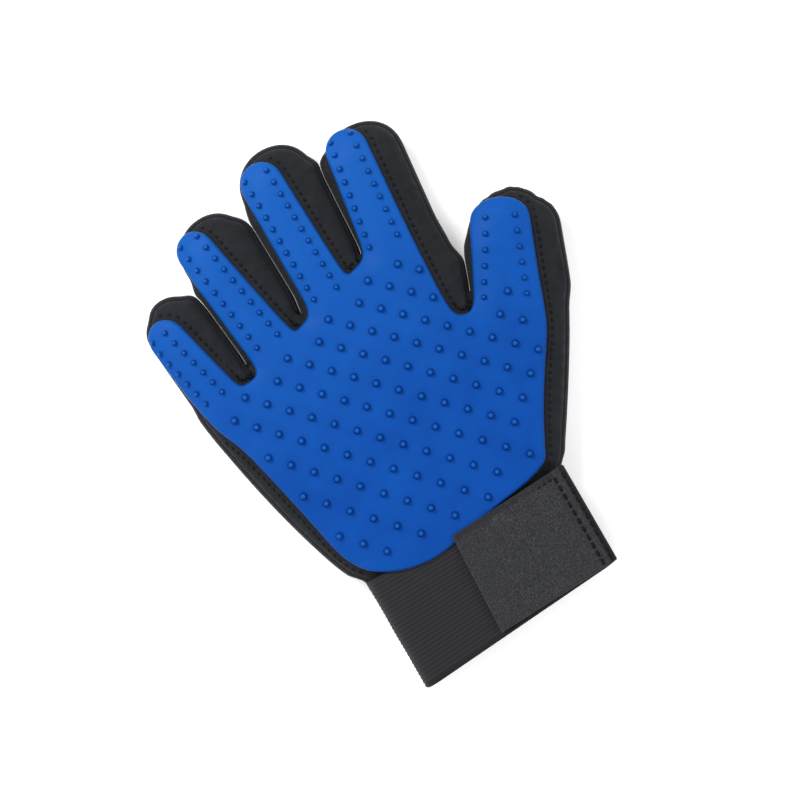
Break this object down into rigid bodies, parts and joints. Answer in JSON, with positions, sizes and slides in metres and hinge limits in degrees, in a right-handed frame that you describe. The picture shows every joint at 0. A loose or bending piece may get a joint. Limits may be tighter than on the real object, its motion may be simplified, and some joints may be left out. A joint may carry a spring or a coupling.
{
  "type": "grooming glove brush",
  "caption": "Right-hand grooming glove: nubbed blue rubber pad over palm and fingers, black fabric back and sides, ribbed elastic cuff with a hook-and-loop strap.",
  "frame": {"origin": "centre of the glove's outline, on the surface that its back lies on", "axes": "+X towards the thumb side, +Y towards the fingertips, +Z out of the palm"},
  "size_m": [0.1771, 0.231, 0.0254],
  "materials": {
    "blue_rubber": "satin moulded rubber",
    "black_fabric": "matt knitted polyester",
    "elastic": "ribbed elastic webbing",
    "felt": "brushed loop felt",
    "hook_plastic": "hook tape",
    "thread": "polyester sewing thread"
  },
  "bodies": {
    "palm": {"palm_pad": "blue_rubber", "palm_front_panel": "black_fabric", "palm_back_panel": "black_fabric", "little_side_gusset": "black_fabric", "thumb_side_gusset": "black_fabric", "thumb_web_gusset": "black_fabric", "web_little_ring": "black_fabric", "web_ring_middle": "black_fabric", "web_middle_index": "black_fabric", "palm_stitching": "thread", "elastic_cuff": "elastic", "cuff_hem": "elastic", "loop_patch": "felt", "strap_sewn_end": "felt", "strap_stitching": "thread"},
    "strap": {"strap_tab": "felt", "hook_patch": "hook_plastic"},
    "little_base": {"little_base_pad": "blue_rubber", "little_base_front": "black_fabric", "little_base_back": "black_fabric", "little_base_sides": "black_fabric"},
    "little_tip": {"little_tip_pad": "blue_rubber", "little_tip_front": "black_fabric", "little_tip_back": "black_fabric", "little_tip_sides": "black_fabric"},
    "ring_base": {"ring_base_pad": "blue_rubber", "ring_base_front": "black_fabric", "ring_base_back": "black_fabric", "ring_base_sides": "black_fabric"},
    "ring_tip": {"ring_tip_pad": "blue_rubber", "ring_tip_front": "black_fabric", "ring_tip_back": "black_fabric", "ring_tip_sides": "black_fabric"},
    "middle_base": {"middle_base_pad": "blue_rubber", "middle_base_front": "black_fabric", "middle_base_back": "black_fabric", "middle_base_sides": "black_fabric"},
    "middle_tip": {"middle_tip_pad": "blue_rubber", "middle_tip_front": "black_fabric", "middle_tip_back": "black_fabric", "middle_tip_sides": "black_fabric"},
    "index_base": {"index_base_pad": "blue_rubber", "index_base_front": "black_fabric", "index_base_back": "black_fabric", "index_base_sides": "black_fabric"},
    "index_tip": {"index_tip_pad": "blue_rubber", "index_tip_front": "black_fabric", "index_tip_back": "black_fabric", "index_tip_sides": "black_fabric"},
    "thumb_base": {"thumb_base_pad": "blue_rubber", "thumb_base_front": "black_fabric", "thumb_base_back": "black_fabric", "thumb_base_sides": "black_fabric"},
    "thumb_tip": {"thumb_tip_pad": "blue_rubber", "thumb_tip_front": "black_fabric", "thumb_tip_back": "black_fabric", "thumb_tip_sides": "black_fabric"}
  },
  "joints": [
    {"name": "little_knuckle", "type": "hinge", "parent": "palm", "child": "little_base", "pos_m": [-0.07133, 0.04396, 0.0228], "axis": [0.9945, 0.1045, 0], "range_deg": [0, 80]},
    {"name": "little_middle_crease", "type": "hinge", "parent": "little_base", "child": "little_tip", "pos_m": [-0.07309, 0.06073, 0.0228], "axis": [0.9945, 0.1045, 0], "range_deg": [0, 85]},
    {"name": "ring_knuckle", "type": "hinge", "parent": "palm", "child": "ring_base", "pos_m": [-0.04102, 0.05348, 0.0228], "axis": [0.9981, 0.061, 0], "range_deg": [0, 80]},
    {"name": "ring_middle_crease", "type": "hinge", "parent": "ring_base", "child": "ring_tip", "pos_m": [-0.04244, 0.07668, 0.0228], "axis": [0.9981, 0.061, 0], "range_deg": [0, 85]},
    {"name": "middle_knuckle", "type": "hinge", "parent": "palm", "child": "middle_base", "pos_m": [-0.00702, 0.0638, 0.0228], "axis": [0.9998, -0.0209, 0], "range_deg": [0, 80]},
    {"name": "middle_middle_crease", "type": "hinge", "parent": "middle_base", "child": "middle_tip", "pos_m": [-0.00654, 0.08643, 0.0228], "axis": [0.9998, -0.0209, 0], "range_deg": [0, 85]},
    {"name": "index_knuckle", "type": "hinge", "parent": "palm", "child": "index_base", "pos_m": [0.02806, 0.06457, 0.0228], "axis": [0.9962, -0.0872, 0], "range_deg": [0, 80]},
    {"name": "index_middle_crease", "type": "hinge", "parent": "index_base", "child": "index_tip", "pos_m": [0.02958, 0.0819, 0.0228], "axis": [0.9962, -0.0872, 0], "range_deg": [0, 85]},
    {"name": "thumb_knuckle", "type": "hinge", "parent": "palm", "child": "thumb_base", "pos_m": [0.06325, 0.01731, 0.0228], "axis": [0.9135, -0.4067, 0], "range_deg": [0, 50]},
    {"name": "thumb_middle_crease", "type": "hinge", "parent": "thumb_base", "child": "thumb_tip", "pos_m": [0.07131, 0.0354, 0.0228], "axis": [0.9135, -0.4067, 0], "range_deg": [0, 70]},
    {"name": "strap_peel", "type": "hinge", "parent": "palm", "child": "strap", "pos_m": [0.0299, -0.0873, 0.0246], "axis": [0, 1, 0], "range_deg": [0, 160]}
  ]
}
